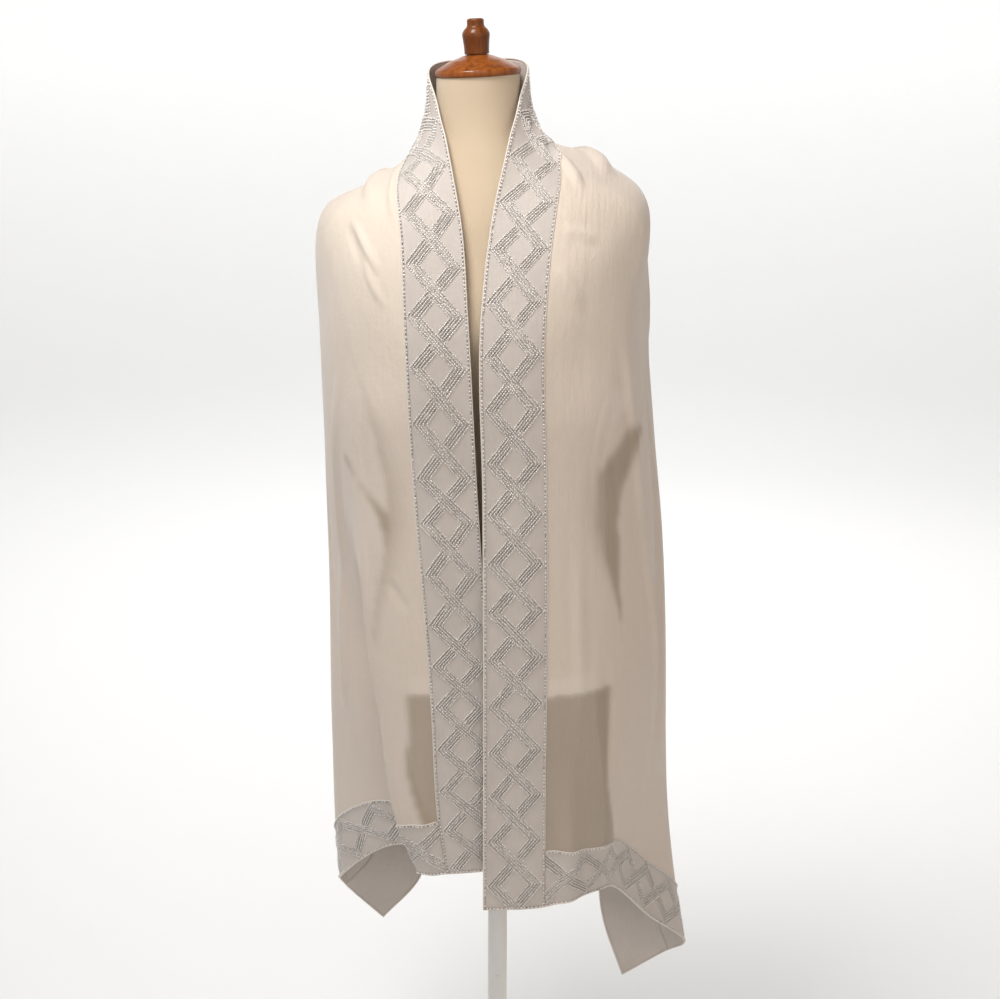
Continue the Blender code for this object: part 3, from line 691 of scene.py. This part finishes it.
class Drape:
    """The scarf's outer face on a fine grid, read by place along and across."""

    def __init__(self, width, border, lift, step, torso_tree):
        self.width, self.border, self.outer_seam = width, border, width - border
        guides = np.array([section[1:] for section in SECTIONS], dtype=float) * MM
        edge = guides[:, 0]
        knots = run_lengths(edge)
        fine_knots = np.linspace(0.0, knots[-1], 400)
        lengths = run_lengths(spline_at(knots, edge, fine_knots))
        nape = [section[0] for section in SECTIONS].index("nape")
        fine_along = lengths - np.interp(knots[nape], fine_knots, lengths)
        self.left, self.right = fine_along[0], fine_along[-1]
        self.left_seam, self.right_seam = self.left + border, self.right - border
        breaks = (self.left, self.left_seam, 0.0, self.right_seam, self.right)
        self.along = stations(breaks, step)
        self.across = stations((0.0, border, self.outer_seam, width), step)
        rows = np.interp(self.along, fine_along, fine_knots)
        columns = spline_at(knots, guides.reshape(len(guides), -1), rows)
        self.points = np.array([self.section(row.reshape(-1, 3)) for row in columns])
        facing = grid_normals(self.points)[..., 1]
        self.fold()
        self.clear(torso_tree, lift)
        self.normals = grid_normals(self.points)
        self.backing = self.find_backing_and_painted_shade(torso_tree, facing)

    def section(self, columns):
        """Points across the cloth through one row of columns, evenly by length."""
        knots = run_lengths(columns, 0.5)
        line = spline_at(knots, columns, np.linspace(0.0, knots[-1], 240))
        lengths = run_lengths(line)
        place = read_line(self.across / self.width * lengths[-1], lengths, line)
        return np.array(to_world(0.0, 0.0, 0.0)) + place * (1.0, 1.0, -1.0)

    def fold(self):
        """Lays the folds and the creases over the smooth surface."""
        shift = np.zeros(self.points.shape[:2])
        for place, reach, cross, half_width, depth in FOLDS:
            shift += depth * np.outer(soft_bump(self.along, place, reach),
                                      soft_bump(self.across, cross, half_width))
        for crease in CREASES:
            shift += crease_shift(self.along, self.across, *crease)
        self.points += grid_normals(self.points) * shift[:, :, None]

    def clear(self, torso_tree, lift):
        """Moves points that are too near the torso out to the cloth's lift."""
        for row in self.points:
            for column, point in enumerate(row):
                place = Vector(point)
                spot, normal, _, distance = torso_tree.find_nearest(place)
                if (place - spot).dot(normal) <= 0.0 or distance < lift:
                    row[column] = spot + normal * lift

    def find_backing_and_painted_shade(self, torso_tree, facing):
        """What lies behind each point, front to back: 1 the form, 0.5 cloth, 0 nothing; a form
        farther back gets less, as painted shade.
        """
        shape = self.points.shape[:2]
        points = self.points.reshape(-1, 3)
        cloth_tree = BVHTree.FromPolygons(points.tolist(), grid_faces(*shape).tolist())
        found = np.zeros(len(points))
        for number, (point, way) in enumerate(zip(points, np.sign(-facing).ravel())):
            start = Vector(point) + Vector((0.0, way * BACKING_START, 0.0))
            form_gap, cloth_gap = (tree.ray_cast(start, (0.0, way, 0.0), BACKING_REACH)[3]
                                   for tree in (torso_tree, cloth_tree))
            if torso_tree.find_nearest(Vector(point))[3] < CLOSE_TO_FORM:
                found[number] = 1.0
            elif form_gap is not None and (cloth_gap is None or form_gap < cloth_gap):
                # The farther the form lies behind the cloth, the darker the cloth is painted:
                # painted shade
                shown = max(FORM_SHOWS - FORM_PAINTED_SHADE_FADE * form_gap, FORM_DARKEST_PAINTED_SHADE)
                found[number] = min(shown, 1.0)
            elif cloth_gap is not None:
                found[number] = 0.5
        sure = np.clip(np.abs(facing) / FACES_FRONT, 0.0, 1.0)
        found = found.reshape(shape) * sure + 0.5 * (1.0 - sure)
        for _ in range(2):
            padded = np.pad(found, 1, mode="edge")
            found = (padded[:-2, 1:-1] + padded[2:, 1:-1] + padded[1:-1, :-2]
                     + padded[1:-1, 2:] + 2.0 * found) / 6.0
        return found

    def read(self, values, along, across):
        """Values of the grid between its points."""
        row = np.interp(along, self.along, np.arange(len(self.along)))
        column = np.interp(across, self.across, np.arange(len(self.across)))
        low_row = np.minimum(row.astype(int), len(self.along) - 2)
        low_column = np.minimum(column.astype(int), len(self.across) - 2)
        down, over = (row - low_row)[:, None], (column - low_column)[:, None]
        upper, lower = (values[near, low_column] * (1.0 - over)
                        + values[near, low_column + 1] * over
                        for near in (low_row, low_row + 1))
        return upper * (1.0 - down) + lower * down

    def place(self, along, across, height=0.0):
        """Points and unit normals at places of the cloth, a height above it."""
        normals = unit(self.read(self.normals, along, across))
        return self.read(self.points, along, across) + normals * height, normals

    def patch(self, along, across):
        """Rows and columns of the grid between two places each way."""
        rows = [int(np.argmin(np.abs(self.along - place))) for place in along]
        columns = [int(np.argmin(np.abs(self.across - place))) for place in across]
        return slice(rows[0], rows[1] + 1), slice(columns[0], columns[1] + 1)


def torso_mesh(segments=72, step=0.008):
    """Points, triangles and UVs in metres of the smooth, closed torso."""
    table = np.array(FORM_RINGS, dtype=float)
    table[:, :4] *= MM
    drops = stations((0.0, *table[-3:, 0]), step)
    rings = spline_at(table[:, 0], table[:, 1:], drops)
    turns = round_turns(segments)
    points = np.array([form_point(drop, *ring, turn) for drop, ring in zip(drops, rings)
                       for turn in turns])
    quads = grid_faces(len(drops), segments, wrap=True)
    here, last = np.arange(segments), len(points) - segments
    beside, top = np.roll(here, -1), np.full(segments, len(points))
    faces = np.concatenate((
        quads[:, (0, 1, 2)], quads[:, (0, 2, 3)],
        np.stack((top, here, beside), axis=1),
        np.stack((top + 1, beside + last, here + last), axis=1),
    ))
    ends = np.stack((points[:segments].mean(axis=0), points[last:].mean(axis=0)))
    girths = np.tile(np.linspace(0.0, 0.9, segments, endpoint=False), len(drops))
    uvs = np.stack((girths, np.repeat(drops, segments)), axis=1)
    uvs = np.concatenate((uvs, ((0.0, 0.0), (0.0, drops[-1]))))
    return np.concatenate((points, ends)), faces, uvs


@functools.lru_cache(maxsize=1)
def torso_drape(*sizes):
    """The drape over the torso, worked out once for its sizes."""
    points, faces, _ = torso_mesh()
    return Drape(*sizes, BVHTree.FromPolygons(points.tolist(), faces.tolist()))


def drape_of(scene):
    """The drape with the scene's settings."""
    cloth = scene.scarf_cloth
    return torso_drape(cloth.width, cloth.border, cloth.lift, cloth.step)


def round_turns(sides):
    """Even angles once round."""
    return 2.0 * math.pi * np.arange(sides) / sides


def add_object(name, data):
    """A new object of the scene."""
    made = bpy.data.objects.new(name, data)
    bpy.context.scene.collection.objects.link(made)
    return made


def new_piece(name, points, faces, material, slot, uvs=None):
    """A mesh object that rides on the part's body, with a finish. The slot is not used."""
    mesh = bpy.data.meshes.new(name)
    mesh.from_pydata(points.tolist(), [], faces.tolist())
    mesh.shade_smooth()
    if uvs is not None:
        layer = mesh.uv_layers.new(name="metres")
        layer.data.foreach_set("uv", uvs[faces.ravel()].ravel())
    mesh.materials.append(material)
    piece = add_object(name, mesh)
    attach(piece, BODY)
    return piece


def cloth_piece(drape, name, along, across, material, slot):
    """One stretch of the scarf as its own sheet, with its metres as UVs."""
    rows, columns = drape.patch(along, across)
    points = drape.points[rows, columns]
    metres = np.stack(np.meshgrid(drape.across[columns], drape.along[rows]), axis=-1)
    return new_piece(name, points.reshape(-1, 3), grid_faces(*points.shape[:2]), material,
                     slot, metres.reshape(-1, 2))


def outline(along, across):
    """Places once round a rectangle of the cloth."""
    low, high = (np.full(len(across) - 1, end) for end in along[[0, -1]])
    near, far = (np.full(len(along) - 1, end) for end in across[[0, -1]])
    return (np.concatenate((along[:-1], high, along[:0:-1], low)),
            np.concatenate((near, across[:-1], far, across[:0:-1])))


def tube(path, normals, radius, sides=6):
    """Points, faces and UVs in metres of a thin closed tube along a path on the cloth."""
    ahead = unit(np.roll(path, -1, 0) - np.roll(path, 1, 0))
    beside = unit(np.cross(ahead, normals))
    upward = np.cross(beside, ahead)
    turns = round_turns(sides)
    ring = (np.cos(turns)[None, :, None] * beside[:, None, :]
            + np.sin(turns)[None, :, None] * upward[:, None, :])
    points = path[:, None, :] + ring * radius
    uvs = np.stack(np.meshgrid(np.arange(sides) / sides, run_lengths(path)), axis=-1)
    first, last = np.arange(sides), (len(path) - 1) * sides + np.arange(sides)
    closing = np.stack((last, first, np.roll(first, -1), np.roll(last, -1)), axis=1)
    faces = np.concatenate((grid_faces(len(path), sides, wrap=True), closing))
    return points.reshape(-1, 3), faces, uvs.reshape(-1, 2)


def rounded(profile, spacing, corner=0.0008):
    """A profile with its corners rounded, as a line of close points."""
    lengths = run_lengths(profile)
    near = np.clip(np.stack((lengths[1:-1] - corner, lengths[1:-1] + corner)), 0, lengths[-1])
    places = np.unique(np.concatenate((np.arange(0.0, lengths[-1], spacing), near.ravel(),
                                       lengths[[0, -1]])))
    line = read_line(places, lengths, profile)
    for _ in range(2):
        line[1:-1] = (line[:-2] + 2.0 * line[1:-1] + line[2:]) / 4.0
    return line


def swept(name, profile, material, steps):
    """A line of radii and heights swept once round the upright axis."""
    mesh = bpy.data.meshes.new(name)
    mesh.from_pydata([(radius, 0.0, height) for radius, height in profile],
                     [(step, step + 1) for step in range(len(profile) - 1)], [])
    mesh.materials.append(material)
    piece = add_object(name, mesh)
    screw = piece.modifiers.new("turning", "SCREW")
    screw.steps = screw.render_steps = steps
    screw.use_merge_vertices = screw.use_smooth_shade = True
    screw.merge_threshold = 0.00005
    return piece


def turned_piece(name, node, material, slot, steps=72, spacing=0.0012, place=(0, 0, 0),
                 tilt=0.0):
    """A turned piece in place of its node, from the node's profile."""
    profile = np.array(PROFILES[node]) * MM
    piece = swept(name, rounded(profile, spacing), material, steps)
    piece.location = place
    piece.rotation_euler = (0.0, -tilt, 0.0)
    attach(piece, BODY)
    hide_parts(node)


def bead_piece(name, places, directions, normals, half_length, radius, material, sides=5):
    """Many like beads, pointed barrels along X, each turned along its direction."""
    turns = round_turns(sides)
    ring = np.stack((np.zeros(sides), np.cos(turns), np.sin(turns)), axis=1) * radius
    shoulder = (half_length * 0.62, 0.0, 0.0)
    tips = ((-half_length, 0.0, 0.0), (half_length, 0.0, 0.0))
    bead = np.concatenate((ring - shoulder, ring + shoulder, tips))
    near, tip = np.arange(sides), np.full(sides, 2 * sides)
    far, beside = near + sides, np.roll(near, -1)
    opposite = beside + sides
    faces = np.concatenate([np.stack(corners, axis=1) for corners in (
        (near, beside, opposite), (near, opposite, far), (beside, near, tip),
        (far, opposite, tip + 1))])
    ahead = unit(directions)
    sideways = unit(np.cross(normals, ahead))
    axes = np.stack((ahead, sideways, np.cross(ahead, sideways)), axis=1)
    points = np.einsum("pk,bkx->bpx", bead, axes) + places[:, None, :]
    faces = faces[None, :, :] + (np.arange(len(places)) * len(bead))[:, None, None]
    return new_piece(name, points.reshape(-1, 3), faces.reshape(-1, 3), material, "border")


class Band:
    """A border stretch: its own length, its width, and where both lie on the cloth."""

    def __init__(self, drape, run, mapping, phase=None):
        self.drape, self.mapping = drape, mapping
        self.fine = np.linspace(*run, 900)
        middle = np.full(len(self.fine), drape.border / 2.0)
        lengths = run_lengths(drape.place(*mapping(self.fine, middle))[0])
        self.length = lengths[-1]
        count = max(1, round(self.length / CHAIN_PITCH))
        self.corners = phase(self.fine) if phase else lengths / self.length * count

    def run_at(self, corner):
        """Where a corner number lies along the stretch."""
        return np.interp(corner, self.corners, self.fine)


def chain_rows(band, beads, over, step, shift_rows, rng):
    """Corner numbers, widths, width steps and share of the marks on one strip's rows."""
    border = band.drape.border
    first, last = band.corners[0], band.corners[-1]
    pitch = band.length / max(last - first, 1e-6)
    half_rows = (beads.rows - 1) / 2.0
    slope = math.atan2(pitch, border - 2.0 * beads.margin) + STEEPER
    spread = beads.row_gap / math.sin(slope)
    inner = beads.margin + half_rows * spread
    swing = border - 2.0 * inner
    count = max(1, round(math.hypot(swing, pitch) / step))
    shares = (np.arange(count) + 0.5) / count
    clearance = (half_rows + 0.5) * spread
    corners, widths = [], []
    for number in range(math.floor(first), math.ceil(last)):
        for row in range(beads.rows if shift_rows == 0.0 else beads.rows - 1):
            drift, slant, frayed = rng.normal(0.0, ROW_STRAY)
            shift = (row - half_rows + shift_rows) * spread + drift + slant * (shares - 0.5)
            base = shares * swing if over else (1.0 - shares) * swing
            gap = np.abs(base + shift - shares * swing)
            keep = np.full(count, over) | (gap > clearance + frayed)
            corners.append((number + shares)[keep])
            widths.append((inner + base + shift)[keep])
    corners, widths = np.concatenate(corners), np.concatenate(widths)
    inside = (corners > first + EMPTY_END) & (corners < last - EMPTY_END)
    loose = OVER_STRAY if over else 1.0
    missing = MISSING_ON_TOP if over and shift_rows else MISSING
    inside &= rng.random(len(corners)) > missing
    corners, widths = corners[inside], widths[inside]
    widths = widths + rng.normal(0.0, WIDTH_STRAY * loose, len(widths))
    corners = corners + rng.normal(0.0, CORNER_STRAY * loose, len(corners))
    steps = np.full(len(widths), (swing if over else -swing) / count)
    return corners, widths, steps, 1.0 / count


def lay_marks(band, rows, height):
    """Turns marks on a band into points, directions and normals on the cloth."""
    corners, widths, steps, share = rows
    read = [band.drape.place(*band.mapping(band.run_at(corners + share * shift),
                                           widths + steps * shift), height)
            for shift in (-0.5, 0.0, 0.5)]
    return read[1][0], read[2][0] - read[0][0], read[1][1]


def line_beads(drape, along, across, spacing, start, height, share, rng):
    """Round beads along a line of the cloth, with a share of them kept here and there."""
    points, normals = drape.place(along, across, height)
    lengths = run_lengths(points)
    places = np.arange(spacing * start, lengths[-1], spacing)
    places = places + rng.normal(0.0, spacing * EDGE_STRAY, len(places))
    stretches = np.arange(0.0, lengths[-1] + 2.0 * WEAR_LENGTH, WEAR_LENGTH)
    worn = np.interp(places, stretches, rng.random(len(stretches)))
    worn = worn * SHARED_WEAR + rng.random(len(places)) * (1.0 - SHARED_WEAR)
    places = places[worn < share]
    middle, heading, facing = (read_line(places, lengths, values) for values in
                               (points, np.gradient(points, axis=0), normals))
    return middle, heading, unit(facing)


def border_strips(drape):
    """The four borders: name, their CAD nodes, along range and across range."""
    left, right = drape.left, drape.right
    inner, outer, width = drape.border, drape.outer_seam, drape.width
    fronts = ("border_front_left", "border_collar", "border_front_right")
    backs = ("border_outer_left", "border_outer_back", "border_outer_right")
    return (
        ("neck_border", fronts, (left, right), (0.0, inner)),
        ("outer_border", backs, (left, right), (outer, width)),
        ("hem_border_left", ("border_hem_left",), (left, drape.left_seam), (inner, outer)),
        ("hem_border_right", ("border_hem_right",), (drape.right_seam, right),
         (inner, outer)),
    )


def chain_bands(drape):
    """The stretches that carry a chain, each with its name."""
    places, numbers = zip(*CHAIN_CORNERS)
    first = (numbers[1] - numbers[0]) / (places[1] - places[0])
    last = (numbers[-1] - numbers[-2]) / (places[-1] - places[-2])

    def neck_phase(along):
        before = np.minimum(along - places[0], 0.0) * first
        after = np.maximum(along - places[-1], 0.0) * last
        return np.interp(along, places, numbers) + before + after

    ends = (drape.left, -COLLAR_REACH, COLLAR_REACH, drape.right)
    for side, run in zip(("left", "back", "right"), zip(ends, ends[1:])):
        yield "neck_" + side, Band(drape, run, lambda along, width: (along, width),
                                   neck_phase)
        yield "outer_" + side, Band(
            drape, run, lambda along, width: (along, drape.outer_seam + width))
    inner = (drape.border, drape.outer_seam)
    yield "hem_left", Band(drape, inner, lambda across, width: (drape.left + width, across))
    yield "hem_right", Band(drape, inner, lambda across, width: (drape.right - width, across))


class SCARF_OT_form(bpy.types.Operator):
    """Makes the covered torso and its turned neck cap and finial"""

    bl_idname = "scarf.form"
    bl_label = "Dress Form"

    def execute(self, context):
        settings = context.scene.scarf_form
        points, faces, uvs = torso_mesh()
        piece = new_piece("form_cover", points, faces, cover_finish(settings), "form_cover",
                          uvs)
        piece.data.set_sharp_from_angle(angle=math.radians(50.0))
        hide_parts("form_torso")
        wood = wood_finish(settings, "varnished wood", 1.0)
        # The finial's wood is the cap's at 0.6 of its brightness: painted shade, as the finial
        # is lit less
        painted_shade_wood = wood_finish(settings, "dark varnished wood", 0.6)
        top = {"place": to_world(0.0, 0.0, 0.0), "tilt": math.atan(SHOULDER_SLANT)}
        turned_piece("neck_cap", "form_neck_cap", wood, "wood", **top)
        turned_piece("finial", "form_finial", painted_shade_wood, "wood", 64, **top)
        return {"FINISHED"}


class SCARF_OT_stand(bpy.types.Operator):
    """Makes the pole and the round base"""

    bl_idname = "scarf.stand"
    bl_label = "Stand"

    def execute(self, context):
        enamel = enamel_finish(context.scene.scarf_form)
        turned_piece("stand_base", "form_base", enamel, "enamel", 96, 0.004)
        turned_piece("stand_pole", "form_pole", enamel, "enamel", 48, 0.02)
        return {"FINISHED"}


class SCARF_OT_chiffon(bpy.types.Operator):
    """Makes the sheer panel as one sheet over the form"""

    bl_idname = "scarf.chiffon"
    bl_label = "Chiffon"

    def execute(self, context):
        settings = context.scene.scarf_cloth
        drape = drape_of(context.scene)
        stretch = ((drape.left_seam, drape.right_seam), (drape.border, drape.outer_seam))
        piece = cloth_piece(drape, "chiffon_panel", *stretch, chiffon_finish(settings),
                            "chiffon")
        backing = piece.data.attributes.new(BACKING_AND_PAINTED_SHADE, "FLOAT", "POINT")
        backing.data.foreach_set("value", drape.backing[drape.patch(*stretch)].ravel())
        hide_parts("chiffon_front_left", "chiffon_back", "chiffon_front_right")
        flat = (drape.outer_seam - drape.border, drape.right_seam - drape.left_seam)
        return {"FINISHED"}


class SCARF_OT_borders(bpy.types.Operator):
    """Makes the doubled border cloth along all four sides"""

    bl_idname = "scarf.borders"
    bl_label = "Borders"

    def execute(self, context):
        settings = context.scene.scarf_cloth
        drape = drape_of(context.scene)
        finish = border_finish(settings)
        for name, nodes, along, across in border_strips(drape):
            piece = cloth_piece(drape, name, along, across, finish, "border")
            wall = piece.modifiers.new("doubled cloth", "SOLIDIFY")
            wall.thickness = settings.border_thickness
            wall.offset = 0.0
            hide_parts(*nodes)
            sides = sorted((across[1] - across[0], along[1] - along[0]))
        return {"FINISHED"}


class SCARF_OT_edges(bpy.types.Operator):
    """Makes the rolled hem round the scarf and the seams of the border"""

    bl_idname = "scarf.edges"
    bl_label = "Rolled Edges and Seams"

    def execute(self, context):
        settings = context.scene.scarf_cloth
        drape = drape_of(context.scene)
        finish = thread_finish(settings)
        whole = drape.patch((drape.left, drape.right), (0.0, drape.width))
        panel = drape.patch((drape.left_seam, drape.right_seam),
                            (drape.border, drape.outer_seam))
        for name, (rows, columns), share, height in (
                ("rolled_hem", whole, 1.0, 0.0), ("border_seam", panel, 0.8, 0.0004)):
            places = outline(drape.along[rows], drape.across[columns])
            path = drape.place(*places, height)
            points, faces, uvs = tube(*path, settings.edge_radius * share)
            new_piece(name, points, faces, finish, "border", uvs)
        return {"FINISHED"}


class SCARF_OT_beading(bpy.types.Operator):
    """Sews the interlaced chains of bugle beads and thread on the borders; the dark thread rows
    paint the shade between the bead rows, paler on the strips on top as painted light
    """

    bl_idname = "scarf.beading"
    bl_label = "Bead Chains"

    def execute(self, context):
        beads = context.scene.scarf_beads
        cloth = context.scene.scarf_cloth.border_thickness / 2.0
        glass = bead_finish(beads)
        # Painted light and shade: the thread on the strips on top is paler, on the strips under
        # darker
        threads = {True: stitch_finish(beads, "faint thread", 0.22),
                   False: stitch_finish(beads, "smoky thread", 0.72)}
        rng = np.random.default_rng(27)
        for name, band in chain_bands(drape_of(context.scene)):
            rows = [lay_marks(band, chain_rows(band, beads, over, beads.length + beads.gap,
                                               0.0, rng), cloth + beads.radius * 0.7)
                    for over in (True, False)]
            marks = [np.concatenate(group) for group in zip(*rows)]
            if not len(marks[0]):
                raise RuntimeError("no bead lies on the border " + name)
            bead_piece(name + "_beads", *marks, beads.length / 2.0, beads.radius, glass)
            for over, finish in threads.items():
                marks = chain_rows(band, beads, over, beads.stitch, 0.5, rng)
                side = "over" if over else "under"
                bead_piece(name + "_thread_" + side, *lay_marks(band, marks, cloth + 0.0002),
                           beads.stitch * 0.56, beads.stitch_radius, finish)
        return {"FINISHED"}


class SCARF_OT_edge_beads(bpy.types.Operator):
    """Sews lines of round beads along the free edges and the seams"""

    bl_idname = "scarf.edge_beads"
    bl_label = "Edge Beads"

    def execute(self, context):
        beads = context.scene.scarf_beads
        drape = drape_of(context.scene)
        rng = np.random.default_rng(31)
        inset, beside = 0.0016, 0.0018
        along = np.linspace(drape.left + inset, drape.right - inset, 1400)
        across = np.linspace(inset, drape.width - inset, 400)
        panel = np.linspace(drape.border, drape.outer_seam, 300)
        lines = [(along, np.full(len(along), place)) for place in (
            inset, drape.border - beside, drape.outer_seam + beside, drape.width - inset)]
        lines += [(np.full(len(run), place), run) for run, place in (
            (across, drape.left + inset), (across, drape.right - inset),
            (panel, drape.left_seam - beside), (panel, drape.right_seam + beside))]
        sorts = (("edge_beads", 0.5, beads.edge_radius, 0.85, bead_finish(beads)),
                 ("edge_knots", 1.0, beads.edge_radius * 0.6, 0.60,
                  stitch_finish(beads, "knots", 0.55)))
        for name, start, radius, share, finish in sorts:
            found = [line_beads(drape, *line, beads.edge_gap, start, radius + 0.0003, share,
                                rng) for line in lines]
            marks = [np.concatenate(group) for group in zip(*found)]
            bead_piece(name, *marks, radius * 1.15, radius, finish)
        return {"FINISHED"}


def add_backdrop(settings):
    """A round floor that curves up into a wall on all sides."""
    flat, curve, top = 5.0, 2.5, 6.0
    bend = [(flat + curve * math.sin(turn), curve - curve * math.cos(turn))
            for turn in np.linspace(0.0, math.pi / 2.0, 14)]
    profile = [(0.0, 0.0), (1.5, 0.0), (3.5, 0.0), *bend, (flat + curve, top)]
    swept("backdrop", profile, floor_finish(settings), 128)


def add_lights(settings):
    """A soft light high at the front left, weaker ones round the form, and a wall light."""
    form, wall = Vector((0.0, 0.0, 1.15)), Vector((0.0, 6.6, 1.6))
    key, fill = settings.key, settings.fill
    for name, place, aim, size, power, colour in (
        ("key", (-0.50, -0.62, 2.75), form, 0.6, key, (1.0, 0.99, 0.975)),
        ("fill", (1.7, -1.7, 1.4), form, 1.4, fill * 0.32, (1.0, 0.62, 0.34)),
        ("front", (0.0, -1.7, 2.15), form, 1.2, fill * 0.45, (1.0, 0.98, 0.965)),
        ("back", (0.6, 2.8, 2.3), form, 2.4, fill * 0.8, (1.0, 0.96, 0.92)),
        ("wall", (0.0, 1.6, 4.4), wall, 3.0, settings.wall, (0.985, 0.99, 1.0)),
    ):
        lamp = bpy.data.lights.new(name, "AREA")
        lamp.energy, lamp.size, lamp.color = power, size, colour
        light = add_object(name, lamp)
        light.location = place
        light.rotation_euler = (aim - Vector(place)).to_track_quat("-Z", "Y").to_euler()
        light.visible_camera = False


def add_room(scene, settings):
    """Even warm light from all sides, and plain display colours."""
    scene.world = bpy.data.worlds.new("room")
    scene.world.use_nodes = True
    room = scene.world.node_tree.nodes["Background"]
    room.inputs["Color"].default_value = (1.0, 0.94, 0.86, 1.0)
    room.inputs["Strength"].default_value = settings.sky
    scene.view_settings.view_transform = "Standard"


def add_camera(scene):
    """The photograph's camera: above shoulder height, two metres off, tipped down."""
    lens = bpy.data.cameras.new("camera")
    lens.sensor_width, lens.lens = 36.0, 61.38
    lens.shift_x, lens.shift_y = 0.022, -0.0575
    lens.clip_end = 100.0
    scene.camera = add_object("camera", lens)
    scene.camera.location = (-0.025632, -2.0, 1.60)
    scene.camera.rotation_euler = (math.radians(75.0), 0.0, 0.0)


class SCARF_OT_stage(bpy.types.Operator):
    """Makes the floor, its curved backdrop, the lights and the camera"""

    bl_idname = "scarf.stage"
    bl_label = "Studio"

    def execute(self, context):
        settings = context.scene.scarf_stage
        add_backdrop(settings)
        add_lights(settings)
        add_room(context.scene, settings)
        add_camera(context.scene)
        return {"FINISHED"}


OPERATORS = (SCARF_OT_form, SCARF_OT_stand, SCARF_OT_chiffon, SCARF_OT_borders,
             SCARF_OT_edges, SCARF_OT_beading, SCARF_OT_edge_beads, SCARF_OT_stage)

SETTINGS = {
    "scarf_cloth": ScarfClothSettings,
    "scarf_beads": ScarfBeadSettings,
    "scarf_form": ScarfFormSettings,
    "scarf_stage": ScarfStageSettings,
}


class SCARF_PT_panel(bpy.types.Panel):
    """Lists the operators and their settings"""

    bl_label = "Beaded Scarf"
    bl_idname = "SCARF_PT_panel"
    bl_space_type = "VIEW_3D"
    bl_region_type = "UI"
    bl_category = "Scarf"

    def draw(self, context):
        for operator in OPERATORS:
            self.layout.operator(operator.bl_idname)
        for group, kind in SETTINGS.items():
            box = self.layout.box()
            for setting in kind.__annotations__:
                box.prop(getattr(context.scene, group), setting)


def register():
    """Registers the settings, the operators and the panel."""
    for group, kind in SETTINGS.items():
        bpy.utils.register_class(kind)
        setattr(bpy.types.Scene, group, bpy.props.PointerProperty(type=kind))
    for shown in (*OPERATORS, SCARF_PT_panel):
        bpy.utils.register_class(shown)


def unregister():
    """Removes what register added."""
    for shown in (SCARF_PT_panel, *reversed(OPERATORS)):
        bpy.utils.unregister_class(shown)
    for group, kind in SETTINGS.items():
        delattr(bpy.types.Scene, group)
        bpy.utils.unregister_class(kind)


def main():
    """Runs the operators in order."""
    register()
    for operator in OPERATORS:
        family, name = operator.bl_idname.split(".")
        getattr(getattr(bpy.ops, family), name)()


if __name__ == "__main__":
    main()
